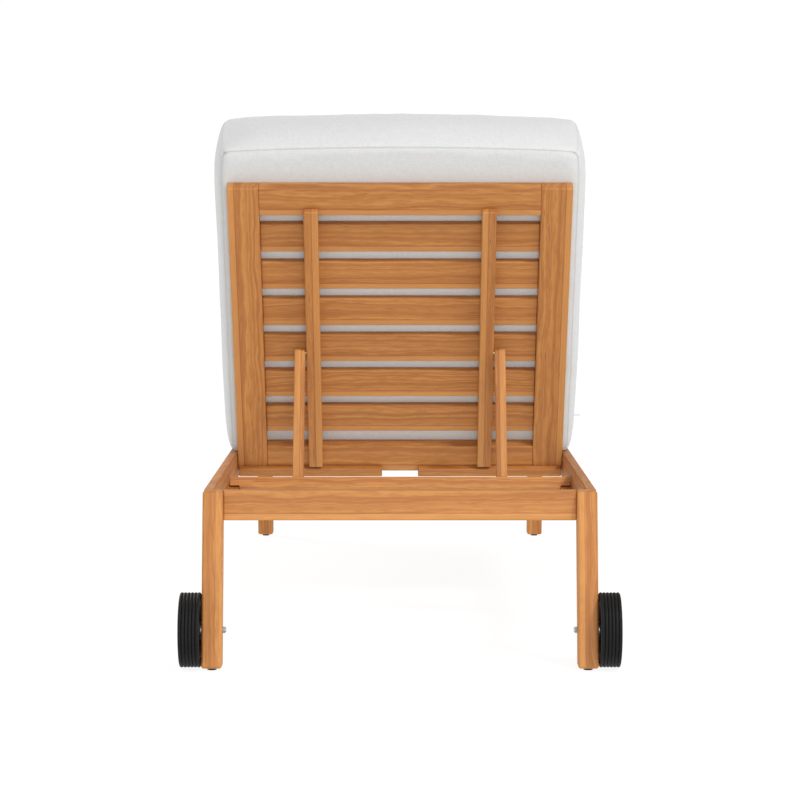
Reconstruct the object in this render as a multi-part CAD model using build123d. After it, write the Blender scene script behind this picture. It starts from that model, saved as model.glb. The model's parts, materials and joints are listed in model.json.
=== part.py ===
from build123d import *
from math import atan2, cos, degrees, hypot, radians, sin, tan
import os

# Reclining chaise lounger of wood slats, with a folding cushion and two wheels at the head end.
# Millimetres. X to the right, Y from the head end to the foot end, Z up from the floor.
# The origin lies on the floor, under the middle of the whole lounger.

# Frame
frame_width = 700
frame_length = 1825
deck_height = 312
rail_height = 53.4
side_rail_thickness = 18
cross_rail_thickness = 22
cross_rail_setback = 10
board_edge = 2.5

# Legs
leg_width = 36.4
leg_depth = 38.7
leg_rake_angle = 10.93
leg_edge = 5
glide_radius = 8.3
glide_height = 4
glide_edge = 1

# Back
back_angle = 60
back_side_gap = 1
back_length = 661.5
back_thickness = 26
stile_width = 60.5
top_rail_width = 59.5
bottom_rail_width = 59.5
back_slat_width = 62
back_slat_thickness = 15
back_slat_count = 6
bottom_gap = 30.7
top_gap = 25.5
batten_inset = 173.5
batten_width = 28
batten_thickness = 15
batten_shoulder_gap = 1
batten_foot = 18
batten_head_gap = 43
cleat_height = 19.5
cleat_drop = 7
cleat_thickness = 13
cleat_inner = 36.5
cleat_end_gap = 2

# Hinge
hinge_from_head = 738.9
hinge_from_back_foot = 20.3
hinge_bolt_radius = 5
hinge_bolt_reach = 46
hinge_head_radius = 9
hinge_head_thickness = 4
running_clearance = 0.05
hinge_rail_gap = 30
hinge_rail_height = 41

# Prop
prop_pivot_from_foot = 293.2
prop_pivot_drop = 8.3
prop_lean = 64.13
prop_length = 274
arm_width = 21.3
arm_thickness = 15.6
arm_gap = 2
crossbar_depth = 18.2
crossbar_thickness = 20.6
crossbar_skirt = 4.5
tongue_thickness = 7
tongue_length = 20
tongue_end_gap = 1.5
pivot_bolt_radius = 3.5
pivot_pin_gap = 2
prop_dowel_radius = 3
prop_dowel_length = 30

# Rack under the prop
rack_width = 19.6
rack_clearance = 0.35
rack_front = 500
rack_rear = 165
rack_foot_height = 12
rack_foot_width = 14
rack_notch_width = 13
rack_notch_depth = 4
rack_notch_shift = 4.25
rack_notch_count = 4
rack_fold_step = 15

# Seat
seat_slat_width = 59
seat_slat_thickness = 15
seat_slat_count = 12
seat_ledger_width = 20
seat_ledger_height = 22
slat_side_gap = 1

# Wheels
wheel_radius = 66.2
wheel_lift = 2.6
wheel_width = 36.5
wheel_gap = 1.8
rib_count = 6
rib_depth = 2.2
tyre_wall = 13
hub_web = 9
hub_inset = 2.25
hub_boss_radius = 17
axle_radius = 4
axle_end = 6.5
nut_radius = 6
nut_sides = 6
nut_thickness = 5
washer_radius = 11
axle_head_radius = 9
axle_head_thickness = 4

# Screws and bolts
screw_radius = 2.2
screw_head_radius = 4.2
screw_head_thickness = 2.5
screw_length = 30
screw_tip_gap = 5
back_screw_share = 0.25
bolt_radius = 3
bolt_head_radius = 6
bolt_head_thickness = 3.5
bolt_length = 90
dowel_radius = 4
dowel_length = 50
dowel_rise = 6
bolt_rise = 17
hole_clearance = 0.05
overrun = 60

# Cushion
cushion_clearance = 0.35
cushion_side_overhang = 3
cushion_thickness = 129
cushion_crown = 12
cushion_bulge = 5
cushion_corner = 8
taper_share = 0.25
head_overhang = 73
edge_fullness_share = 0.7
seat_overhang = 8
cushion_fold_gap = 0.4
zip_rise = 71
zip_from_fold = 6
zip_length = 24
zip_width = 8
zip_thickness = 1.6
zip_edge = 0.4

# Worked-out places along the length
wheel_height = wheel_radius + wheel_lift
leg_rise = deck_height - glide_height
leg_rake_run = leg_rise * tan(radians(leg_rake_angle))
axle_back = (deck_height - wheel_height) * tan(radians(leg_rake_angle)) - leg_depth / 2
rear_reach = axle_back + wheel_radius
front_reach = frame_length + leg_rake_run
head_y = -(front_reach + rear_reach) / 2 + rear_reach
foot_y = head_y + frame_length
hinge_y = head_y + hinge_from_head
hinge_z = deck_height - back_thickness / 2
axle_y = head_y - axle_back
half_width = frame_width / 2
rail_inner = half_width - side_rail_thickness
leg_inner = half_width - leg_width
rail_bottom = deck_height - rail_height
back_half = rail_inner - back_side_gap
batten_inner = back_half - batten_inset
tongue_shoulder = rail_inner - tongue_length
cushion_width = frame_width + 2 * cushion_side_overhang
stile_inner = back_half - stile_width
back_underside = hinge_z - back_thickness / 2
back_slat_underside = deck_height - back_slat_thickness
back_slat_first = bottom_rail_width + bottom_gap
back_slat_last = back_length - top_rail_width - top_gap - back_slat_width
back_slat_pitch = (back_slat_last - back_slat_first) / (back_slat_count - 1)
batten_head = back_length - batten_head_gap
rack_bottom = rail_bottom - rack_foot_height
hinge_rail_bottom = deck_height - hinge_rail_height
batten_outer = batten_inner + batten_width
arm_inner = batten_outer + arm_gap
hinge_rail_y = hinge_y + hinge_rail_gap


def block(x_low, x_high, y_low, y_high, z_low, z_high):
    size = (x_high - x_low, y_high - y_low, z_high - z_low)
    middle = ((x_low + x_high) / 2, (y_low + y_high) / 2, (z_low + z_high) / 2)
    return Pos(*middle) * Box(*size)


def board(x_low, x_high, y_low, y_high, z_low, z_high, edge=board_edge):
    plain = block(x_low, x_high, y_low, y_high, z_low, z_high)
    return fillet(plain.edges(), edge)


def rod_across(x_low, x_high, y, z, radius):
    return Pos((x_low + x_high) / 2, y, z) * Rot(0, 90, 0) * Cylinder(radius, x_high - x_low)


def rod_along(x, y_low, y_high, z, radius):
    return Pos(x, (y_low + y_high) / 2, z) * Rot(90, 0, 0) * Cylinder(radius, y_high - y_low)


def rod_up(x, y, z_low, z_high, radius):
    return Pos(x, y, (z_low + z_high) / 2) * Cylinder(radius, z_high - z_low)


def side_profile(points, x_low, x_high):
    face = make_face(Polyline([Vector(x_low, y, z) for y, z in points], close=True))
    return extrude(face, amount=x_high - x_low, dir=(1, 0, 0))


def other_side(shape):
    return mirror(shape, about=Plane.YZ)


def group(shapes):
    solids = [solid for shape in shapes for solid in shape.solids()]
    return Compound(solids)


# Turning about the hinge and about the prop's pivot

def raise_back(shape, angle=back_angle):
    return Pos(0, hinge_y, hinge_z) * Rot(-angle, 0, 0) * Pos(0, -hinge_y, -hinge_z) * shape


def back_point(from_foot, below):
    """Place of a point of the raised back, from its foot end and below its upper face."""
    run = from_foot - hinge_from_back_foot
    drop = below - back_thickness / 2
    turn = radians(back_angle)
    y = hinge_y - run * cos(turn) - drop * sin(turn)
    z = hinge_z + run * sin(turn) - drop * cos(turn)
    return y, z


pivot_y, pivot_z = back_point(prop_pivot_from_foot, back_thickness + prop_pivot_drop)
pivot_run = prop_pivot_from_foot - hinge_from_back_foot
pivot_below = back_thickness / 2 + prop_pivot_drop
pivot_radius = hypot(pivot_run, pivot_below)
pivot_flat_angle = degrees(atan2(-pivot_below, pivot_run))


def tongue_low_point(fold):
    """Lowest corner of the crossbar's tongue when the back has come down by this angle."""
    link = radians(pivot_flat_angle + back_angle - fold)
    lean = radians(prop_lean - fold)
    bar_y = hinge_y - pivot_radius * cos(link) - prop_length * cos(lean)
    bar_z = hinge_z + pivot_radius * sin(link) - prop_length * sin(lean)
    tongue_side = crossbar_thickness / 2 - tongue_thickness
    y = bar_y - crossbar_depth / 2 * cos(lean) - tongue_side * sin(lean)
    z = bar_z - crossbar_depth / 2 * sin(lean) + tongue_side * cos(lean)
    return y, z


# Legs and rails

def raked_leg(top_y, direction):
    """Right leg from the deck down, its foot moved by the rake in the given direction."""
    foot_shift = direction * leg_rake_run
    points = [
        (top_y, deck_height),
        (top_y + leg_depth, deck_height),
        (top_y + leg_depth + foot_shift, glide_height),
        (top_y + foot_shift, glide_height),
    ]
    return side_profile(points, leg_inner, half_width)


def leg_centre(top_y, direction, height):
    return top_y + leg_depth / 2 + direction * leg_rake_run * (deck_height - height) / leg_rise


rear_leg_block = raked_leg(head_y, -1)
front_leg_block = raked_leg(foot_y - leg_depth, 1)
rail_middle = rail_bottom + rail_height / 2
bolt_heights = (rail_middle - bolt_rise, rail_middle + bolt_rise)
dowel_heights = (rail_middle - dowel_rise, rail_middle + dowel_rise)
dowel_x = half_width - side_rail_thickness / 2
rear_rail_y = head_y + cross_rail_setback
front_rail_y = foot_y - cross_rail_setback - cross_rail_thickness
rear_bolt_y = rear_rail_y + cross_rail_thickness / 2
front_bolt_y = front_rail_y + cross_rail_thickness / 2


def dowel_places():
    places = []
    for height in dowel_heights:
        rear = leg_centre(head_y, -1, height) + leg_depth / 2
        front = leg_centre(foot_y - leg_depth, 1, height) - leg_depth / 2
        places.append((rear, height))
        places.append((front, height))
    return places


def rail_dowel(y, z, radius):
    return rod_along(dowel_x, y - dowel_length / 2, y + dowel_length / 2, z, radius)


def corner_bolt(y, z, clearance=0):
    shank_end = half_width - bolt_length
    shank = rod_across(shank_end - clearance, half_width, y, z, bolt_radius + clearance)
    head_low = half_width - bolt_head_thickness - clearance
    head = rod_across(head_low, half_width, y, z, bolt_head_radius + clearance)
    return shank + head


def corner_bolt_holes():
    holes = []
    for y in (rear_bolt_y, front_bolt_y):
        for z in bolt_heights:
            holes.append(corner_bolt(y, z, hole_clearance))
    return holes


def finished_leg(plain, wheel_bore):
    leg = fillet(plain.edges(), leg_edge)
    for hole in corner_bolt_holes():
        leg -= hole
    for y, z in dowel_places():
        leg -= rail_dowel(y, z, dowel_radius + hole_clearance)
    if wheel_bore:
        bore = axle_radius + hole_clearance
        leg -= rod_across(leg_inner - overrun, half_width + overrun, axle_y, wheel_height, bore)
    return leg


def side_rail():
    rear = head_y + leg_depth / 2
    front = foot_y - leg_depth / 2
    rail = board(rail_inner, half_width, rear, front, rail_bottom, deck_height)
    rail -= rear_leg_block
    rail -= front_leg_block
    for y, z in dowel_places():
        rail -= rail_dowel(y, z, dowel_radius + hole_clearance)
    return rail - hinge_bolt_hole()


def hinge_bolt_hole():
    """Bore through the side rail with a recess for the bolt's head."""
    bore = hinge_bolt_radius + hole_clearance
    recess = hinge_head_radius + hole_clearance
    head_low = half_width - hinge_head_thickness - hole_clearance
    hole = rod_across(rail_inner - overrun, half_width + overrun, hinge_y, hinge_z, bore)
    return hole + rod_across(head_low, half_width + overrun, hinge_y, hinge_z, recess)


def cross_rail(rail_y):
    rail = board(-leg_inner, leg_inner, rail_y, rail_y + cross_rail_thickness, rail_bottom, deck_height)
    for hole in corner_bolt_holes():
        rail -= hole
        rail -= other_side(hole)
    return rail


def hinge_rail():
    far = hinge_rail_y + cross_rail_thickness
    return board(-rail_inner, rail_inner, hinge_rail_y, far, hinge_rail_bottom, deck_height)


def corner_bolts():
    bolts = []
    for y in (rear_bolt_y, front_bolt_y):
        for z in bolt_heights:
            bolt = corner_bolt(y, z)
            bolts.append(bolt)
            bolts.append(other_side(bolt))
    return group(bolts)


def rail_dowels():
    dowels = []
    for y, z in dowel_places():
        dowel = rail_dowel(y, z, dowel_radius)
        dowels.append(dowel)
        dowels.append(other_side(dowel))
    return group(dowels)


def leg_glides():
    glides = []
    glide_x = half_width - leg_width / 2
    for y in (leg_centre(head_y, -1, glide_height), leg_centre(foot_y - leg_depth, 1, glide_height)):
        glide = rod_up(glide_x, y, 0, glide_height, glide_radius)
        glide = fillet(glide.edges().group_by(Axis.Z)[0], glide_edge)
        glides.append(glide)
        glides.append(other_side(glide))
    return group(glides)


# Seat

seat_start = hinge_rail_y + cross_rail_thickness
seat_gap = (front_rail_y - seat_start - seat_slat_count * seat_slat_width) / (seat_slat_count + 1)
seat_pitch = seat_slat_width + seat_gap
slat_bottom = deck_height - seat_slat_thickness
ledger_inner = rail_inner - seat_ledger_width
slat_screw_x = rail_inner - seat_ledger_width / 2


def seat_slat_y(index):
    return seat_start + seat_gap + index * seat_pitch


def slat_screw(index, clearance=0):
    y = seat_slat_y(index) + seat_slat_width / 2
    tip = deck_height - screw_length - clearance
    shank = rod_up(slat_screw_x, y, tip, deck_height, screw_radius + clearance)
    head_low = deck_height - screw_head_thickness - clearance
    return shank + rod_up(slat_screw_x, y, head_low, deck_height, screw_head_radius + clearance)


def seat_slat(index):
    near = seat_slat_y(index)
    end = rail_inner - slat_side_gap
    slat = board(-end, end, near, near + seat_slat_width, slat_bottom, deck_height)
    hole = slat_screw(index, hole_clearance)
    return slat - hole - other_side(hole)


def seat_ledger():
    low = slat_bottom - seat_ledger_height
    ledger = board(ledger_inner, rail_inner, seat_start, foot_y - leg_depth, low, slat_bottom)
    for index in range(seat_slat_count):
        ledger -= slat_screw(index, hole_clearance)
    return ledger


def seat_slat_screws():
    screws = []
    for index in range(seat_slat_count):
        screw = slat_screw(index)
        screws.append(screw)
        screws.append(other_side(screw))
    return group(screws)


# Back, drawn lying flat and then raised

def back_y(from_foot):
    return hinge_y + hinge_from_back_foot - from_foot


def back_board(x_low, x_high, from_foot, to_head, top_z, bottom_z):
    return board(x_low, x_high, back_y(to_head), back_y(from_foot), bottom_z, top_z)


def hinge_bolt():
    reach = half_width - hinge_bolt_reach - side_rail_thickness
    shank = rod_across(reach, half_width, hinge_y, hinge_z, hinge_bolt_radius)
    head = rod_across(half_width - hinge_head_thickness, half_width, hinge_y, hinge_z, hinge_head_radius)
    return shank + head


def hinge_bolts():
    return group([hinge_bolt(), other_side(hinge_bolt())])


def back_stile():
    stile = back_board(stile_inner, back_half, 0, back_length, deck_height, back_underside)
    bore = hinge_bolt_radius + running_clearance
    tip = half_width - hinge_bolt_reach - side_rail_thickness - running_clearance
    return stile - rod_across(tip, back_half + overrun, hinge_y, hinge_z, bore)


def back_top_rail():
    start = back_length - top_rail_width
    return back_board(-stile_inner, stile_inner, start, back_length, deck_height, back_underside)


def back_bottom_rail():
    return back_board(-stile_inner, stile_inner, 0, bottom_rail_width, deck_height, back_underside)


def back_slat_start(index):
    return back_slat_first + index * back_slat_pitch


def back_screw(from_foot, clearance=0):
    """Screw driven from the front of the back into a batten, its tip short of the batten's rear."""
    x = batten_inner + batten_width / 2
    y = back_y(from_foot)
    tip = back_underside - batten_thickness + screw_tip_gap - clearance
    shank = rod_up(x, y, tip, deck_height, screw_radius + clearance)
    head_low = deck_height - screw_head_thickness - clearance
    return shank + rod_up(x, y, head_low, deck_height, screw_head_radius + clearance)


def back_screw_places():
    rail_end = batten_head - screw_head_radius - board_edge
    places = [bottom_rail_width / 2, rail_end]
    for index in range(back_slat_count):
        places.append(back_slat_start(index) + back_slat_width * back_screw_share)
    return places


def drill_back(shape):
    for from_foot in back_screw_places():
        hole = back_screw(from_foot, hole_clearance)
        shape -= hole
        shape -= other_side(hole)
    return shape


def back_slat(index):
    start = back_slat_start(index)
    end = start + back_slat_width
    return back_board(-stile_inner, stile_inner, start, end, deck_height, back_slat_underside)


def prop_pivot_pin():
    """Steel pin from inside the batten into the prop's arm, short of both outer faces."""
    y = back_y(prop_pivot_from_foot)
    z = back_underside - prop_pivot_drop
    low = batten_inner + pivot_pin_gap
    return rod_across(low, arm_inner + arm_width - pivot_pin_gap, y, z, pivot_bolt_radius)


def prop_pivot_pins():
    pin = prop_pivot_pin()
    return group([raise_back(pin), raise_back(other_side(pin))])


def back_batten():
    """Upright that laps over the rails' rear faces and is thicker between them, up to the slats."""
    low = back_underside - batten_thickness
    batten = back_board(batten_inner, batten_outer, batten_foot, batten_head, back_underside, low)
    near = back_y(bottom_rail_width + batten_shoulder_gap)
    far = back_y(back_length - top_rail_width - batten_shoulder_gap)
    middle = back_underside - batten_thickness / 2
    batten += block(batten_inner, batten_outer, far, near, middle, back_slat_underside)
    y = back_y(prop_pivot_from_foot)
    z = back_underside - prop_pivot_drop
    bore = pivot_bolt_radius + hole_clearance
    low = batten_inner + pivot_pin_gap - hole_clearance
    return batten - rod_across(low, batten_outer + overrun, y, z, bore)


def bottom_cleat():
    low = back_underside - cleat_thickness
    end = back_half - cleat_end_gap
    return back_board(cleat_inner, end, -cleat_drop, cleat_height - cleat_drop, back_underside, low)


def batten_screws():
    screws = []
    for from_foot in back_screw_places():
        screw = back_screw(from_foot)
        screws.append(raise_back(screw))
        screws.append(raise_back(other_side(screw)))
    return group(screws)


# Prop, drawn lying flat behind its pivot and then leaned

def lean_prop(shape):
    return Pos(0, pivot_y, pivot_z) * Rot(prop_lean, 0, 0) * shape


def prop_arm():
    half = arm_thickness / 2
    straight = prop_length - crossbar_depth / 2
    outline = block(arm_inner, arm_inner + arm_width, -straight, 0, -half, half)
    outline += rod_across(arm_inner, arm_inner + arm_width, 0, 0, half)
    arm = fillet(outline.edges().filter_by(Axis.Y), board_edge)
    bore_end = arm_inner + arm_width - pivot_pin_gap + running_clearance
    arm -= rod_across(arm_inner - overrun, bore_end, 0, 0, pivot_bolt_radius + running_clearance)
    return arm - prop_dowel(hole_clearance)


def prop_dowel(clearance=0):
    """Hidden wood dowel across the joint between the arm's end and the crossbar."""
    x = arm_inner + arm_width / 2
    joint = -prop_length + crossbar_depth / 2
    low = joint - crossbar_depth / 2 - clearance
    return rod_along(x, low, low + prop_dowel_length + 2 * clearance, 0, prop_dowel_radius + clearance)


def prop_crossbar():
    half = crossbar_depth / 2
    depth = crossbar_thickness / 2
    near = -prop_length - half
    far = -prop_length + half
    bar_end = rail_inner - tongue_end_gap
    low = near - crossbar_skirt
    body = board(-tongue_shoulder, tongue_shoulder, low, far, -depth, depth, board_edge / 2)
    tongues = block(-bar_end, bar_end, near, far, depth - tongue_thickness, depth)
    tongues = fillet(tongues.edges(), board_edge / 2)
    bar = body + tongues
    hole = prop_dowel(hole_clearance)
    return bar - hole - other_side(hole)


def prop_dowels():
    return group([lean_prop(prop_dowel()), lean_prop(other_side(prop_dowel()))])


def prop_rack():
    """Strip whose sloping top follows the tongue's path, notched where the crossbar can stand."""
    rest_y, rest_z = tongue_low_point(0)
    next_y, next_z = tongue_low_point(rack_fold_step)
    slope = (rest_z - next_z) / (rest_y - next_y)

    def top_at(y):
        return rest_z - rack_clearance + (y - rest_y) * slope

    rear = head_y + rack_rear
    front = head_y + rack_front
    points = [(rear, rack_bottom), (front, rack_bottom), (front, top_at(front)), (rear, top_at(rear))]
    inner = rail_inner - rack_width
    strip = side_profile(points, inner, rail_inner)
    strip += block(rail_inner, rail_inner + rack_foot_width, rear, front, rack_bottom, rail_bottom)
    for step in range(rack_notch_count):
        low_y, low_z = tongue_low_point(step * rack_fold_step)
        notch_mid = low_y + rack_notch_shift
        low = top_at(notch_mid) - rack_notch_depth
        near = notch_mid - rack_notch_width / 2
        strip -= block(inner - overrun, rail_inner, near, near + rack_notch_width, low, low + overrun)
    return strip


# Wheels

wheel_inner = half_width + wheel_gap
wheel_outer = wheel_inner + wheel_width
hub_radius = wheel_radius - tyre_wall


def wheel_tyre():
    """Ribbed ring, turned about the axle line."""
    rib_width = wheel_width / rib_count
    low = wheel_radius - rib_depth
    edges = [Line((wheel_inner, 0, hub_radius), (wheel_outer, 0, hub_radius))]
    edges.append(Line((wheel_outer, 0, hub_radius), (wheel_outer, 0, low)))
    for index in range(rib_count):
        right = wheel_outer - index * rib_width
        left = right - rib_width
        edges.append(ThreePointArc((right, 0, low), ((left + right) / 2, 0, wheel_radius), (left, 0, low)))
    edges.append(Line((wheel_inner, 0, low), (wheel_inner, 0, hub_radius)))
    ring = revolve(make_face(edges), Axis.X)
    return Pos(0, axle_y, wheel_height) * ring


def wheel_hub():
    """Disc with a rim, a web and a bored boss."""
    middle = (wheel_inner + wheel_outer) / 2
    hub = rod_across(wheel_inner + hub_inset, wheel_outer - hub_inset, 0, 0, hub_radius)
    hollow = hub_radius - hub_web / 2
    hub -= rod_across(middle + hub_web / 2, wheel_outer + overrun, 0, 0, hollow)
    hub -= rod_across(wheel_inner - overrun, middle - hub_web / 2, 0, 0, hollow)
    boss_end = wheel_outer - hub_web / 2
    hub += rod_across(wheel_inner + running_clearance, boss_end, 0, 0, hub_boss_radius)
    hub -= rod_across(wheel_inner - overrun, wheel_outer + overrun, 0, 0, axle_radius + running_clearance)
    return Pos(0, axle_y, wheel_height) * hub


def wheel_axle():
    """Bolt from the wheel's outer side through hub and leg, with the washer between wheel and leg."""
    head_low = wheel_outer - hub_web / 2 + running_clearance
    shank = rod_across(leg_inner - axle_end, head_low, axle_y, wheel_height, axle_radius)
    head = rod_across(head_low, head_low + axle_head_thickness, axle_y, wheel_height, axle_head_radius)
    head = fillet(head.edges().group_by(Axis.X)[-1], axle_head_thickness / 2)
    washer = rod_across(half_width, wheel_inner, axle_y, wheel_height, washer_radius)
    return shank + head + washer


def axle_nut():
    flat = Plane(origin=(leg_inner, axle_y, wheel_height), x_dir=(0, 1, 0), z_dir=(-1, 0, 0))
    nut = extrude(flat * RegularPolygon(nut_radius, nut_sides), amount=nut_thickness)
    bore = axle_radius + hole_clearance
    return nut - rod_across(leg_inner - overrun, half_width, axle_y, wheel_height, bore)


def axle_nuts():
    return group([axle_nut(), other_side(axle_nut())])


# Cushion: two closed forms that meet on the fold

def cushion_section(y, base, inset, crown, bulge):
    """Closed outline across the cushion: flat base, bowed sides and a crowned top."""
    low = base + inset
    high = base + cushion_thickness - inset
    half = cushion_width / 2 - inset
    mid = (low + high) / 2
    lines = [
        Line((-half, y, low), (half, y, low)),
        ThreePointArc((half, y, low), (half + bulge, y, mid), (half, y, high)),
        ThreePointArc((half, y, high), (0, y, high + crown), (-half, y, high)),
        ThreePointArc((-half, y, high), (-half - bulge, y, mid), (-half, y, low)),
    ]
    return make_face(lines)


def cushion_form(end, fold, base):
    """Loft from the rounded outer end to the fold, fullest in the middle."""
    inward = cushion_corner if fold > end else -cushion_corner
    taper = (fold - end) * taper_share
    edge_crown = cushion_crown * edge_fullness_share
    edge_bulge = cushion_bulge * edge_fullness_share
    sections = [
        cushion_section(end, base, cushion_corner, edge_crown, edge_bulge),
        cushion_section(end + inward, base, 0, edge_crown, edge_bulge),
        cushion_section(end + taper, base, 0, cushion_crown, cushion_bulge),
        cushion_section(fold - taper, base, 0, cushion_crown, cushion_bulge),
        cushion_section(fold, base, 0, edge_crown, edge_bulge),
    ]
    return loft(sections, ruled=True)


def fold_cutter(side):
    """Large block on one side of the fold plane, which passes through the hinge line."""
    reach = frame_length
    gap = cushion_fold_gap / 2
    if side > 0:
        plate = block(-reach, reach, gap, reach, -reach, reach)
    else:
        plate = block(-reach, reach, -reach, -gap, -reach, reach)
    return Pos(0, hinge_y, hinge_z) * Rot(-back_angle / 2, 0, 0) * plate


def seat_cushion():
    base = deck_height + cushion_clearance
    form = cushion_form(foot_y + seat_overhang, hinge_y - cushion_corner, base)
    return form & fold_cutter(1)


def back_cushion():
    base = deck_height + cushion_clearance
    form = cushion_form(back_y(back_length + head_overhang), hinge_y + cushion_corner, base)
    return raise_back(form) & fold_cutter(-1)


def zip_pull():
    low = deck_height + zip_rise
    high = low + zip_thickness
    y = hinge_y + (high - hinge_z) * tan(radians(90 - back_angle)) + zip_from_fold
    x = cushion_width / 2 - cushion_bulge
    return board(x, x + zip_length, y, y + zip_width, low, high, zip_edge)


def both(name, right):
    return {name + "_right": right, name + "_left": other_side(right)}


def make_pieces():
    pieces = {}
    pieces.update(both("rear_leg", finished_leg(rear_leg_block, True)))
    pieces.update(both("front_leg", finished_leg(front_leg_block, False)))
    pieces.update(both("side_rail", side_rail()))
    pieces["rear_cross_rail"] = cross_rail(rear_rail_y)
    pieces["front_cross_rail"] = cross_rail(front_rail_y)
    pieces["hinge_rail"] = hinge_rail()
    pieces["corner_bolts"] = corner_bolts()
    pieces["rail_dowels"] = rail_dowels()
    pieces["leg_glides"] = leg_glides()
    for index in range(seat_slat_count):
        pieces[f"seat_slat_{index + 1:02d}"] = seat_slat(index)
    pieces.update(both("seat_ledger", seat_ledger()))
    pieces["seat_slat_screws"] = seat_slat_screws()
    pieces.update(both("prop_rack", prop_rack()))
    pieces["hinge_bolts"] = hinge_bolts()
    pieces.update(both("back_stile", raise_back(back_stile())))
    pieces["back_top_rail"] = raise_back(drill_back(back_top_rail()))
    pieces["back_bottom_rail"] = raise_back(drill_back(back_bottom_rail()))
    for index in range(back_slat_count):
        pieces[f"back_slat_{index + 1}"] = raise_back(drill_back(back_slat(index)))
    pieces.update(both("back_batten", raise_back(drill_back(back_batten()))))
    pieces.update(both("bottom_cleat", raise_back(bottom_cleat())))
    pieces["batten_screws"] = batten_screws()
    pieces["prop_pivot_pins"] = prop_pivot_pins()
    pieces.update(both("prop_arm", lean_prop(prop_arm())))
    pieces["prop_crossbar"] = lean_prop(prop_crossbar())
    pieces["prop_dowels"] = prop_dowels()
    pieces.update(both("wheel_tyre", wheel_tyre()))
    pieces.update(both("wheel_hub", wheel_hub()))
    pieces.update(both("wheel_axle", wheel_axle()))
    pieces["axle_nuts"] = axle_nuts()
    pieces["seat_cushion"] = seat_cushion() - zip_pull()
    pieces["back_cushion"] = back_cushion()
    pieces["zip_pull"] = zip_pull()
    return pieces


os.makedirs("parts", exist_ok=True)
for name, shape in make_pieces().items():
    export_step(shape, f"parts/{name}.step")
print("hinge", hinge_y, hinge_z)
print("prop pivot", pivot_y, pivot_z)
print("axle", axle_y, wheel_height)
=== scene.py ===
import bmesh
import bpy
import json
from math import cos, exp, hypot, radians, sin, tanh
from mathutils import Euler, Matrix, Vector, noise


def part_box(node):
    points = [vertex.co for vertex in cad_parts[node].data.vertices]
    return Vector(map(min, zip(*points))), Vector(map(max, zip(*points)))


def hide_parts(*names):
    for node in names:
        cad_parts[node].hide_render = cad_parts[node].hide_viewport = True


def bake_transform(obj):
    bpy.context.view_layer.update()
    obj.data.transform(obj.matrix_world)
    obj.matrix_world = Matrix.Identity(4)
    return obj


# Reclining chaise lounger: camera, light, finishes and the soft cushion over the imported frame.
# Lengths are in metres, X to the right seen from the head end, Y to the foot end, Z up.

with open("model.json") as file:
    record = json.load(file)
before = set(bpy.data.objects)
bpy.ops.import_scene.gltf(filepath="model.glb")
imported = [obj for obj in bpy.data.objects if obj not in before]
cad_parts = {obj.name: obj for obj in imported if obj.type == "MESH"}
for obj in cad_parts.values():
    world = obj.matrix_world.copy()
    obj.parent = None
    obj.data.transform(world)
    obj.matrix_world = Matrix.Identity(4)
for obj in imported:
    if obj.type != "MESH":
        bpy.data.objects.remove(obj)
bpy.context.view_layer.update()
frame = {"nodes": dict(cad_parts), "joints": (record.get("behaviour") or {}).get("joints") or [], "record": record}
nodes = frame["nodes"]

MM = 0.001
hinge_joint = [joint for joint in frame["joints"] if joint["name"] == "back_hinge"][0]
hinge = Vector(hinge_joint["pos_m"])
back_tilt = radians(60)  # the raised back's angle to the floor, at rest


# Finishes: one class wraps a socket for sums, one builds a material

OBJECT_OUTPUT = 3
ATTRIBUTE_VALUE_OUTPUT = 2
MIX_FIRST_COLOUR, MIX_SECOND_COLOUR = 6, 7
MIX_COLOUR_OUTPUT = 2


class Value:
    """A socket that adds its Math nodes when it is used in a sum."""

    def __init__(self, finish, socket):
        self.finish = finish
        self.socket = socket

    def sum(self, operation, *values):
        return self.finish.node("ShaderNodeMath", {"operation": operation}, dict(enumerate(values)))

    def __add__(self, other):
        return self.sum("ADD", self, other)

    def __radd__(self, other):
        return self.sum("ADD", other, self)

    def __sub__(self, other):
        return self.sum("SUBTRACT", self, other)

    def __rsub__(self, other):
        return self.sum("SUBTRACT", other, self)

    def __mul__(self, other):
        return self.sum("MULTIPLY", self, other)

    def __rmul__(self, other):
        return self.sum("MULTIPLY", other, self)

    def between(self, low, high):
        """0 below low, 1 above high, and smooth in between."""
        settings = {"interpolation_type": "SMOOTHSTEP"}
        sockets = {"Value": self, "From Min": low, "From Max": high}
        return self.finish.node("ShaderNodeMapRange", settings, sockets)

    def around_zero(self, inner, outer):
        """1 closer to nil than inner on either side, 0 beyond outer, and smooth in between."""
        return self.between(-outer, -inner) - self.between(inner, outer)


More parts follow.
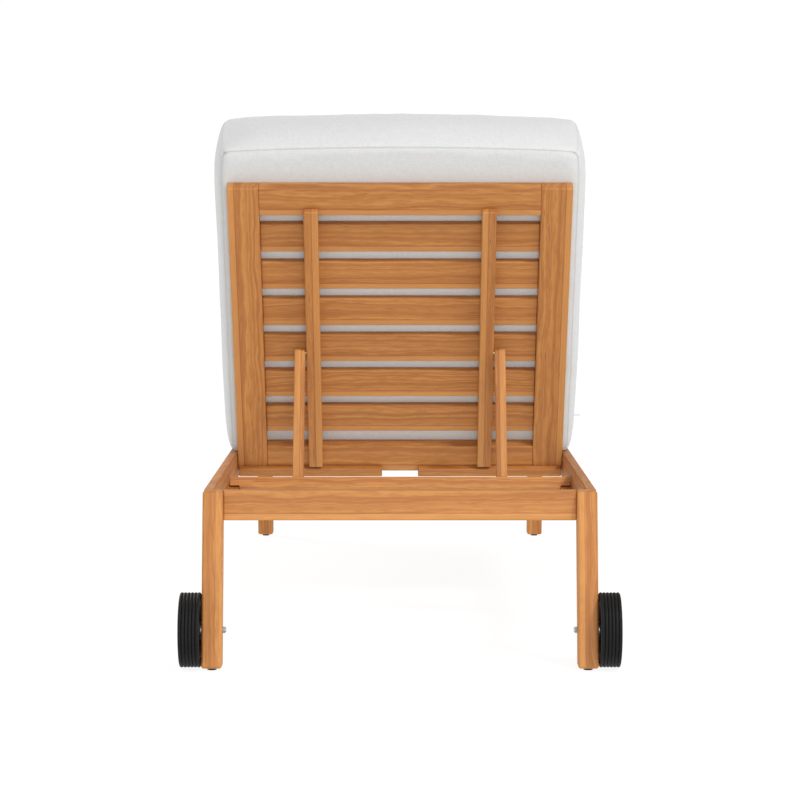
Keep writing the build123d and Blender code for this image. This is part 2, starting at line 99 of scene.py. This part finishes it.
class Finish:
    """A material with one shader, built from named nodes."""

    def __init__(self, name, **shader_values):
        self.material = bpy.data.materials.new(name)
        self.material.use_nodes = True
        self.tree = self.material.node_tree
        self.shader = self.tree.nodes["Principled BSDF"]
        for key, value in shader_values.items():
            self.shader.inputs[key.replace("_", " ")].default_value = value

    def node(self, kind, settings=None, sockets=None, output=0):
        """Adds a node with its settings and its sockets' values or links, and gives one of its outputs."""
        made = self.tree.nodes.new(kind)
        for key, value in (settings or {}).items():
            setattr(made, key, value)
        for key, value in (sockets or {}).items():
            self.fill(made.inputs[key], value)
        return Value(self, made.outputs[output])

    def fill(self, socket, value):
        if isinstance(value, Value):
            self.tree.links.new(value.socket, socket)
        else:
            socket.default_value = value

    def mix(self, factor, first, second):
        """The first colour where the factor is 0 and the second where it is 1."""
        first = (*first, 1) if isinstance(first, tuple) else first
        second = (*second, 1) if isinstance(second, tuple) else second
        settings = {"data_type": "RGBA", "blend_type": "MIX"}
        sockets = {0: factor, MIX_FIRST_COLOUR: first, MIX_SECOND_COLOUR: second}
        return self.node("ShaderNodeMix", settings, sockets, MIX_COLOUR_OUTPUT)

    def place(self, turn=(0, 0, 0)):
        """Object coordinates, turned."""
        own = self.node("ShaderNodeTexCoord", output=OBJECT_OUTPUT)
        return self.node("ShaderNodeMapping", sockets={"Vector": own, "Rotation": turn})

    def moved(self, vector, shift):
        return self.node("ShaderNodeMapping", sockets={"Vector": vector, "Location": shift})

    def along(self, vector, axis):
        """One coordinate of a place: 0 for X, 1 for Y, 2 for Z."""
        return self.node("ShaderNodeSeparateXYZ", sockets={0: vector}, output=axis)

    def grain(self, vector, scale=(1, 1, 1), detail=3.0, roughness=0.5):
        stretched = self.node("ShaderNodeMapping", sockets={"Vector": vector, "Scale": scale})
        sockets = {"Vector": stretched, "Scale": 1.0, "Detail": detail, "Roughness": roughness}
        return self.node("ShaderNodeTexNoise", {"noise_dimensions": "3D"}, sockets)

    def stored(self, name):
        """A value stored on the mesh under this name."""
        return self.node("ShaderNodeAttribute", {"attribute_name": name}, output=ATTRIBUTE_VALUE_OUTPUT)

    def lines(self, depth, per_metre, detail=2.0):
        """Light and dark lines that follow one value, as growth rings follow a depth in the log."""
        sockets = {"W": depth, "Scale": per_metre, "Detail": detail, "Roughness": 0.6}
        return self.node("ShaderNodeTexNoise", {"noise_dimensions": "1D"}, sockets)

    def bump(self, height, distance, strength):
        sockets = {"Height": height, "Distance": distance, "Strength": strength}
        return self.node("ShaderNodeBump", sockets=sockets)

    def finish(self, **links):
        for key, value in links.items():
            self.fill(self.shader.inputs[key.replace("_", " ")], value)
        return self.material


def linear(red, green, blue, tone=1.0):
    """A colour as the screen shows it, 0 to 255, in linear light."""
    shares = [channel / 255 for channel in (red, green, blue)]
    return tuple(tone * (c / 12.92 if c < 0.04 else ((c + 0.055) / 1.055) ** 2.4) for c in shares)


def oiled_wood(name, turn, number, tone, strip_edge, strip_side, strip_share):
    """Oiled hardwood board, its length along X and its width along Z once turned.

    A paler strip runs along one edge of most boards, with a thin red-brown line beside it.
    """
    wood = Finish(name, Specular_IOR_Level=0.36)
    lie = wood.place(turn)
    own = wood.moved(lie, [step * number for step in board_steps])
    sway = wood.grain(own, scale=(2.4, 16, 16), detail=2.0)
    figure = wood.grain(own, scale=(11, 30, 30), detail=2.0)
    depth = wood.along(own, 2) + 0.4 * wood.along(own, 1) + 0.034 * sway + 0.016 * figure
    broad = wood.lines(depth, per_metre=75)
    ring = wood.lines(depth, per_metre=330)
    hair = wood.lines(depth, per_metre=620, detail=1.0)
    cloud = wood.grain(own, scale=(6, 40, 40))
    mottle = wood.grain(own, scale=(34, 170, 170), detail=2.0)
    fibre = wood.grain(own, scale=(30, 900, 900), roughness=0.65)
    pore = wood.grain(own, scale=(26, 520, 520), detail=1.0)
    warm, pale = linear(187, 126, 62, tone), linear(203, 142, 77, tone)
    deep, red = linear(159, 97, 43, tone), linear(142, 76, 36, tone)
    dark = linear(104, 56, 28, tone)
    base = wood.mix(broad.between(0.34, 0.66), deep, warm)
    base = wood.mix(ring.between(0.44, 0.74) * cloud.between(0.3, 0.65) * 0.6, base, pale)
    base = wood.mix(hair.between(0.42, 0.75) * 0.28, base, deep)
    base = wood.mix(mottle.between(0.42, 0.68) * 0.5, base, deep)
    base = wood.mix(fibre.between(0.35, 0.75) * 0.2, base, pale)
    dashes = pore.between(0.66, 0.74) * ring.between(0.35, 0.6)
    base = wood.mix(dashes * 0.5, base, dark)
    if strip_side:
        inward = (wood.along(lie, 2) - strip_edge) * -strip_side
        past_strip = inward + 0.0016 * sway - strip_width
        strip = 1 - past_strip.between(0, 0.8 * MM)
        line = past_strip.between(-0.6 * MM, 0.4 * MM) * (1 - past_strip.between(0.8 * MM, 3 * MM))
        base = wood.mix(strip * strip_share, base, pale)
        base = wood.mix(line * strip_share, base, red)
    height = fibre * 0.4 + hair * 0.3 - dashes * 0.8
    rough = 0.5 + 0.14 * fibre
    return wood.finish(Base_Color=base, Roughness=rough, Normal=wood.bump(height, 0.3 * MM, 0.4))


def black_rubber():
    rubber = Finish("ribbed black rubber", Specular_IOR_Level=0.2)
    place = rubber.place()
    speck = rubber.grain(place, scale=(900, 900, 900))
    dust = rubber.grain(place, scale=(14, 60, 60), detail=4.0)
    colour = rubber.mix(dust.between(0.45, 0.8) * 0.3, linear(13, 13, 13), linear(30, 30, 29))
    rough = 0.5 + 0.2 * speck
    return rubber.finish(Base_Color=colour, Roughness=rough, Normal=rubber.bump(speck, 0.2 * MM, 0.4))


def black_plastic():
    plastic = Finish("moulded black plastic", Specular_IOR_Level=0.3)
    place = plastic.place()
    pebble = plastic.grain(place, scale=(1400, 1400, 1400), detail=2.0)
    cloud = plastic.grain(place, scale=(20, 20, 20))
    colour = plastic.mix(cloud, linear(20, 20, 21), linear(34, 34, 35))
    rough = 0.42 + 0.2 * cloud
    return plastic.finish(Base_Color=colour, Roughness=rough, Normal=plastic.bump(pebble, 0.1 * MM, 0.5))


def zinc_steel():
    steel = Finish("zinc plated steel", Metallic=1.0)
    place = steel.place()
    scratch = steel.grain(place, scale=(40, 2600, 2600))
    cloud = steel.grain(place, scale=(160, 160, 160))
    colour = steel.mix(cloud.between(0.35, 0.7), linear(186, 186, 184), linear(150, 150, 148))
    rough = 0.26 + 0.2 * scratch
    return steel.finish(Base_Color=colour, Roughness=rough, Normal=steel.bump(scratch, 0.05 * MM, 0.4))


def woven_cloth():
    """Pale plain weave with slubs and sewn seams, which lie where two panels are equally near; the seams carry
    painted shade.
    """
    cloth = Finish("pale woven cloth", Sheen_Weight=0.2, Specular_IOR_Level=0.2)
    place = cloth.place()
    warp = cloth.grain(place, scale=(1500, 90, 90), detail=2.0)
    weft = cloth.grain(place, scale=(90, 1500, 1500), detail=2.0)
    slub = cloth.grain(place, scale=(60, 420, 420), detail=2.0)
    cloud = cloth.grain(place, scale=(9, 9, 9))
    weave = warp * 0.5 + weft * 0.5
    base = cloth.mix(weave.between(0.35, 0.65), linear(195, 196, 195), linear(208, 209, 208))
    base = cloth.mix(slub.between(0.55, 0.8) * 0.3, base, linear(214, 214, 214))
    base = cloth.mix(cloud.between(0.3, 0.75) * 0.15, base, linear(193, 193, 192))
    boxing, top, low, corner = [cloth.stored(name) for name in panel_measures]
    on_boxing = low.between(2 * MM, 6 * MM) * top.between(2 * MM, 6 * MM)
    line = seam_line(boxing - top, top) + seam_line(boxing - low, low)
    upright_line = seam_line(corner, boxing) * on_boxing
    shade = seam_shade(boxing - top, top) + seam_shade(boxing - low, low)
    near_corner = corner.around_zero(3 * MM, 18 * MM)
    # Painted shade: a soft shade beside the seams, the stitched lines darkened as the shade in their grooves, and
    # near the corners a painted shadow under the boxing's lip
    shaded, stitched_and_shaded = linear(150, 148, 145), linear(138, 136, 133)
    base = cloth.mix(shade * (0.08 + 0.2 * near_corner), base, shaded)
    base = cloth.mix(upright_line * 0.1, base, stitched_and_shaded)
    colour = cloth.mix(line * (0.15 + 0.5 * near_corner), base, stitched_and_shaded)
    height = weave * 0.6 + slub * 0.2 - line * 3 - upright_line * 2
    rough = 0.86 + 0.1 * weave
    return cloth.finish(Base_Color=colour, Roughness=rough, Normal=cloth.bump(height, 0.5 * MM, 0.6))


def seam_line(across, inward):
    """1 on a stitched line, where the signed distance across is nil, close to the panel's edge."""
    return across.around_zero(0.5 * MM, 1.9 * MM) * at_panel_edge(inward)


def seam_shade(across, inward):
    """The wider shade on both sides of a stitched line."""
    return across.around_zero(0, 9 * MM) * at_panel_edge(inward)


def at_panel_edge(inward):
    return 1 - inward.between(9 * MM, 14 * MM)


# Boards: the turn that lays a board's length along X and its width along Z, and its paler edge

leg_rake = radians(10.93)
arm_lean = radians(90 - 64.13)
upright = radians(90)
back_lean = upright - back_tilt
strip_width = 13 * MM
board_steps = (0.37, 0.113, 0.071)  # how far the grain's place moves from one board to the next


def board_turn(name):
    if name.startswith("rear_leg"):
        return (leg_rake, upright, 0)
    if name.startswith("front_leg"):
        return (-leg_rake, upright, 0)
    if name.startswith("prop_arm"):
        return (arm_lean, upright, 0)
    if name.startswith(("back_stile", "back_batten")):
        return (-back_lean, upright, 0)
    if name.startswith(("back_", "bottom_cleat")):
        return (-back_lean, 0, 0)
    if name.startswith(("side_rail", "seat_ledger", "prop_rack")):
        return (0, 0, -upright)
    if name.startswith("seat_slat"):
        return (upright, 0, 0)
    return (0, 0, 0)


def strip_side(name):
    """-1 for a paler strip along the low side of the turned width, 1 for the high side, 0 for none."""
    hand = 1 if name.endswith("_right") else -1
    if name.startswith(("back_batten", "rear_leg", "front_leg")):
        return hand
    if name.startswith(("back_stile", "prop_arm")):
        return -hand
    if "slat" in name or name.startswith("back_") or "cross_rail" in name:
        return -1
    return 0


def strip_edge(name, turn, side):
    """Where the board's edge with the strip lies on its turned width."""
    widths = [(Euler(turn).to_matrix() @ vertex.co).z for vertex in nodes[name].data.vertices]
    return max(widths) if side > 0 else min(widths)


def board_tone(name, number):
    """Boards of the back are a little darker, a painted shade for their downward-facing lean; legs and crossbar
    paler, and every board differs a little.
    """
    own = 1 + 0.035 * sin(number * 2.4)
    # Painted shade: the back's boards face down and away from the light, so their colour is darkened
    if name.startswith(("back_", "bottom_cleat")):
        return own * 0.95
    if name == "prop_crossbar":
        return own * 1.16
    return own * (1.06 if "_leg_" in name else 1.0)


def board_finish(name, number):
    turn = board_turn(name)
    side = strip_side(name)
    share = 0.25 if "_leg_" in name else 0.5
    tone = board_tone(name, number)
    return oiled_wood("wood " + name, turn, number, tone, strip_edge(name, turn, side), side, share)


def dress_nodes():
    others = {"black_tyre": black_rubber(), "black_hub": black_plastic(), "zinc_steel": zinc_steel()}
    others["dark_glide"] = others["black_hub"]
    slots = {part["node"]: part["material_slot"] for part in frame["record"]["subparts"]}
    for number, (name, piece) in enumerate(nodes.items()):
        finish = others.get(slots[name]) or board_finish(name, number)
        if not piece.material_slots:
            piece.data.materials.append(finish)
        for material_slot in piece.material_slots:
            material_slot.material = finish


# Cushion: each half is swollen lying flat on the seat side, and the back's half is then mirrored and raised

cushion_base = hinge.z + 13.3 * MM
cushion_half = 344 * MM
cushion_height = 137 * MM
back_reach = 716 * MM
foot_inset = 8 * MM
fold_overlap = 20 * MM
corner_round = 14 * MM
fold_round = 30 * MM
edge_round = 6 * MM
sharp_edge = radians(30)
cloth_grain = 9 * MM
fold_gap = 0.6 * MM

# The shape of the filling: the boxing and top are crowned, flatter at the ears and pinched at the fold
boxing_crown = 15 * MM
boxing_fullness = 2.6
top_crown = 10 * MM
crown_reach = 150 * MM
ear_share = 0.7
ear_width = 38 * MM
fold_pinch = 4 * MM
pinch_reach = 18 * MM
end_bow = 9 * MM
bow_reach = 250 * MM

# The cloth: how far it may swell, and how the seams draw it in and pucker it
swell_steps = 20
swell_limits = (6 * MM, 6 * MM, 10 * MM)  # along X, Y and Z
seam_grip = 6 * MM
seam_draw = 1.3 * MM
seam_width = 4 * MM
pucker_draw = 4 * MM
pucker_width = 7 * MM
pucker_length = 16 * MM
ripple_height = 1.6 * MM
ripple_reach = 24 * MM
ripples_per_metre = 30
roll_height = 2 * MM
rolls_per_metre = 6
roll_place = Vector((3, 1, 8))

panel_measures = ("boxing", "top", "low", "corner")
half_fold = back_tilt / 2
fold_square = Vector((0, -cos(half_fold), sin(half_fold)))


def mitred_box(length, outer):
    """Closed box lying flat, from the fold plane through the hinge line to its outer end along Y."""
    mesh = bmesh.new()
    bmesh.ops.create_cube(mesh, size=1)
    bmesh.ops.scale(mesh, vec=Vector((2 * cushion_half, length, cushion_height)), verts=mesh.verts)
    middle = Vector((0, outer - length / 2, cushion_base + cushion_height / 2))
    bmesh.ops.translate(mesh, vec=middle, verts=mesh.verts)
    upright_edges = [e for e in mesh.edges if min(v.co.y for v in e.verts) > middle.y and is_upright(e)]
    round_edges(mesh, upright_edges, corner_round, 6)
    everything = mesh.verts[:] + mesh.edges[:] + mesh.faces[:]
    start = hinge - fold_square * fold_gap
    bmesh.ops.bisect_plane(mesh, geom=everything, plane_co=start, plane_no=fold_square, clear_outer=True)
    bmesh.ops.holes_fill(mesh, edges=[e for e in mesh.edges if e.is_boundary])
    bmesh.ops.recalc_face_normals(mesh, faces=mesh.faces)
    round_edges(mesh, [e for e in mesh.edges if is_fold_shoulder(e)], fold_round, 6)
    round_edges(mesh, [e for e in mesh.edges if e.calc_face_angle() > sharp_edge], edge_round, 3)
    return mesh


def is_fold_shoulder(edge):
    """The long top edge along the fold."""
    first, second = (vertex.co for vertex in edge.verts)
    top = cushion_base + cushion_height - MM
    return min(first.z, second.z) > top and max(fold_depth(first), fold_depth(second)) < 2 * MM


def is_upright(edge):
    first, second = edge.verts
    return abs(first.co.z - second.co.z) > cushion_height / 2


def round_edges(mesh, edges, offset, segments):
    bmesh.ops.bevel(mesh, geom=edges, offset=offset, offset_type="OFFSET", segments=segments, profile=0.5,
                    affect="EDGES", material=-1)


def remeshed(mesh, name, voxel):
    """An object of this mesh with an even net of faces, fine enough for cloth."""
    data = bpy.data.meshes.new(name)
    mesh.to_mesh(data)
    mesh.free()
    piece = bpy.data.objects.new(name, data)
    bpy.context.scene.collection.objects.link(piece)
    remesh = piece.modifiers.new("remesh", "REMESH")
    remesh.mode = "VOXEL"
    remesh.voxel_size = voxel
    apply_modifiers(piece)
    return piece


def apply_modifiers(piece):
    """Keeps the mesh as the modifiers leave it."""
    bpy.context.view_layer.update()
    held = bpy.context.evaluated_depsgraph_get()
    data = bpy.data.meshes.new_from_object(piece.evaluated_get(held))
    old = piece.data
    piece.modifiers.clear()
    piece.data = data
    bpy.data.meshes.remove(old)


def panel_depths(point, outer):
    """How far a point lies inside the boxing, the top panel and the low panel, and across the corner."""
    side = cushion_half - abs(point.x)
    end = outer - point.y
    into_corner = hypot(max(corner_round - side, 0), max(corner_round - end, 0))
    boxing = corner_round - into_corner if into_corner > 0 else min(side, end)
    top = cushion_base + cushion_height - point.z
    return {"boxing": boxing, "top": top, "low": point.z - cushion_base, "corner": side - end}


def mark_panels(piece, outer):
    """Stores the depths on the mesh, for the seams in the cloth's colour and relief."""
    depths = [panel_depths(vertex.co, outer) for vertex in piece.data.vertices]
    for name in depths[0]:
        stored = piece.data.attributes.new(name, "FLOAT", "POINT")
        stored.data.foreach_set("value", [depth[name] for depth in depths])


def crown(piece, outer):
    """Rounds the panels out between their seams, as the filling does, before the cloth is swollen."""
    for vertex in piece.data.vertices:
        place = vertex.co.copy()
        depths = panel_depths(place, outer)
        inward = from_0_to_1(depths["boxing"] / crown_reach)
        share = from_0_to_1(depths["low"] / cushion_height)
        across, along = boxing_direction(place, outer)
        skin = 1 - eased_step(depths["boxing"], 0, 5 * edge_round)
        ear = 1 - ear_share * exp(-((depths["corner"] / ear_width) ** 2))
        push = boxing_crown * (1 - abs(2 * share - 1) ** boxing_fullness) * skin * ear
        pinch = fold_pinch * exp(-fold_depth(place) / pinch_reach) * skin * share
        place.x += across * (push - pinch)
        place.y += along * push
        place.z += top_crown * (1 - (1 - inward) ** 2) * share ** 3
        vertex.co = place


def boxing_direction(point, outer):
    """The way the nearest part of the boxing faces, in X and Y."""
    side = corner_round - cushion_half + abs(point.x)
    end = corner_round - outer + point.y
    hand = 1 if point.x > 0 else -1
    if side > 0 and end > 0:
        return hand * side / hypot(side, end), end / hypot(side, end)
    if side > end:
        return hand, 0
    return 0, 1


def stored_depths(piece):
    """What mark_panels stored, one dictionary for each vertex."""
    columns = [[item.value for item in piece.data.attributes[name].data] for name in panel_measures]
    return [dict(zip(panel_measures, row)) for row in zip(*columns)]


def seam_distance(depths):
    """Distance to the nearest of the two long seams, for a point on the cover."""
    return min(hypot(depths["boxing"], depths["top"]), hypot(depths["boxing"], depths["low"]))


def swell(piece):
    """Blows the panels up between their sewn edges like a stuffed cushion, with the movement capped."""
    vertices = piece.data.vertices
    start = [vertex.co.copy() for vertex in vertices]
    panels = stored_depths(piece)
    sewn = piece.vertex_groups.new(name="sewn")
    for vertex, depths in zip(vertices, panels):
        held_fold = fold_depth(vertex.co) < seam_grip and depths["boxing"] > corner_round
        if seam_distance(depths) < 1.5 * seam_grip or held_fold:
            sewn.add([vertex.index], 1.0, "REPLACE")
    cloth = piece.modifiers.new("swell", "CLOTH")
    cloth.settings.use_pressure = True
    cloth.settings.uniform_pressure_force = 4.0
    cloth.settings.effector_weights.gravity = 0.0
    cloth.settings.quality = 5
    cloth.settings.mass = 0.3
    cloth.settings.tension_stiffness = 12
    cloth.settings.compression_stiffness = 12
    cloth.settings.bending_stiffness = 0.5
    cloth.settings.vertex_group_mass = "sewn"
    cloth.point_cache.frame_end = swell_steps
    for step in range(1, swell_steps + 1):
        bpy.context.scene.frame_set(step)
    held = bpy.context.evaluated_depsgraph_get()
    blown = [vertex.co.copy() for vertex in piece.evaluated_get(held).data.vertices]
    bpy.context.scene.frame_set(1)
    piece.modifiers.clear()
    for vertex, before, after in zip(vertices, start, blown):
        vertex.co = before + Vector([capped(*pair) for pair in zip(after - before, swell_limits)])


def fold_depth(point):
    """How far a point lies from the fold plane, towards the foot end."""
    return (hinge - point).dot(fold_square)


def capped(value, limit):
    """Eases towards the limit and never passes it."""
    return limit * tanh(value / limit)


def smooth_once(piece):
    finer = piece.modifiers.new("finer", "SUBSURF")
    finer.levels = 1
    finer.render_levels = 1
    apply_modifiers(piece)


def sew_and_settle(piece, outer):
    """Draws the cloth in along the seams, puckers it beside them and rests it on what carries it."""
    vertices = piece.data.vertices
    normals = [vertex.normal.copy() for vertex in vertices]
    for vertex, normal, at in zip(vertices, normals, stored_depths(piece)):
        near = off_seam(at)
        groove = seam_draw * exp(-((near / seam_width) ** 2))
        pucker = pucker_draw * exp(-abs(at["corner"]) / pucker_length) * exp(-((near / pucker_width) ** 2))
        ripple = ripple_height * noise.noise(vertex.co * ripples_per_metre) * exp(-near / ripple_reach)
        roll = roll_height * noise.noise(vertex.co * rolls_per_metre + roll_place)
        place = vertex.co + normal * (ripple + roll - groove - pucker)
        near_end = eased_step(place.y, outer - bow_reach, outer)
        place.y += end_bow * (1 - (place.x / cushion_half) ** 2) * near_end
        place.z = max(place.z, cushion_base)
        past_fold = fold_gap - fold_depth(place)
        if past_fold > 0:
            place -= fold_square * past_fold
        vertex.co = place


def off_seam(depths):
    """How far a point lies off the nearer long seam's line, and a whole metre where no seam is near."""
    near = [panel for panel in ("top", "low") if depths[panel] < 2 * seam_grip]
    return min((abs(depths["boxing"] - depths[panel]) for panel in near), default=1)


def from_0_to_1(value):
    return max(0.0, min(1.0, value))


def eased_step(value, low, high):
    """0 below low, 1 above high, and smooth in between."""
    share = from_0_to_1((value - low) / (high - low))
    return share * share * (3 - 2 * share)


def make_cushion(name, length, outer):
    """One half of the cushion, lying flat on the seat side with its outer end at this place along Y."""
    piece = remeshed(mitred_box(length, outer), name, cloth_grain)
    mark_panels(piece, outer)
    crown(piece, outer)
    swell(piece)
    smooth_once(piece)
    sew_and_settle(piece, outer)
    for face in piece.data.polygons:
        face.use_smooth = True
    return piece


def lean_back(piece):
    """Mirrors a cushion made on the seat side to the head side and raises it with the back."""
    flip = Matrix.Translation(hinge) @ Matrix.Scale(-1, 4, (0, 1, 0)) @ Matrix.Translation(-hinge)
    raise_up = Matrix.Translation(hinge) @ Matrix.Rotation(-back_tilt, 4, "X") @ Matrix.Translation(-hinge)
    piece.data.transform(raise_up @ flip)
    piece.data.flip_normals()
    piece.data.update()


def make_cushions():
    cloth = woven_cloth()
    foot_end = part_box("seat_cushion")[1].y - foot_inset
    seat = make_cushion("seat_pad", foot_end - hinge.y + fold_overlap, foot_end)
    back_length = back_reach - end_bow
    back = make_cushion("back_pad", back_length + fold_overlap, hinge.y + back_length)
    lean_back(back)
    for piece, node in ((seat, "seat_cushion"), (back, "back_cushion")):
        piece.data.materials.clear()
        piece.data.materials.append(cloth)
        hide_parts(node)
        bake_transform(piece)


# Stage, light and camera

stage_reach = 30
light_aim = Vector((0, -0.3, 0.45))
camera_place = (0, -5.5948, 0.8224)
camera_pitch = radians(4.24)
camera_lens = 120.05


def make_stage():
    """A pale floor inside a round pale wall, which lets the studio's own light through."""
    ground = bmesh.new()
    bmesh.ops.create_grid(ground, x_segments=1, y_segments=1, size=stage_reach)
    stage_sheet("floor", ground, stage_paint("pale floor", grey=0.12, glow=0.9))
    ring = bmesh.new()
    bmesh.ops.create_cone(ring, segments=96, radius1=stage_reach, radius2=stage_reach, depth=2 * stage_reach)
    wall = stage_sheet("wall", ring, stage_paint("pale wall", grey=0, glow=1.02))
    wall.visible_diffuse = False


def stage_sheet(name, mesh, paint):
    data = bpy.data.meshes.new(name)
    mesh.to_mesh(data)
    mesh.free()
    sheet = bpy.data.objects.new(name, data)
    data.materials.append(paint)
    bpy.context.scene.collection.objects.link(sheet)
    return sheet


def stage_paint(name, grey, glow):
    paint = Finish(name, Roughness=0.9, Specular_IOR_Level=0.1)
    return paint.finish(Base_Color=(grey, grey, grey, 1), Emission_Color=(1, 1, 1, 1), Emission_Strength=glow)


def make_light():
    scene = bpy.context.scene
    scene.view_settings.view_transform = "Standard"
    world = bpy.data.worlds.new("soft studio")
    world.use_nodes = True
    background = world.node_tree.nodes["Background"]
    background.inputs["Color"].default_value = (1, 1, 1, 1)
    background.inputs["Strength"].default_value = 0.57
    scene.world = world
    add_panel("key", (2.4, -3.7, 4.3), size=1.1, power=160)
    add_panel("fill", (0.4, -5.2, 0.9), size=1.4, power=56)
    add_panel("front", (-3.4, 3.0, 2.6), size=1.8, power=90)


def add_panel(name, place, size, power):
    light = bpy.data.lights.new(name, "AREA")
    light.size = size
    light.energy = power
    lamp = bpy.data.objects.new(name, light)
    lamp.location = place
    aim = light_aim - Vector(place)
    lamp.rotation_euler = aim.to_track_quat("-Z", "Y").to_euler()
    bpy.context.scene.collection.objects.link(lamp)


def make_camera():
    lens = bpy.data.cameras.new("camera")
    lens.lens = camera_lens
    lens.sensor_width = 36
    camera = bpy.data.objects.new("camera", lens)
    camera.location = camera_place
    camera.rotation_euler = (upright - camera_pitch, 0, 0)
    bpy.context.scene.collection.objects.link(camera)
    bpy.context.scene.camera = camera


make_camera()
make_light()
make_stage()
dress_nodes()
make_cushions()
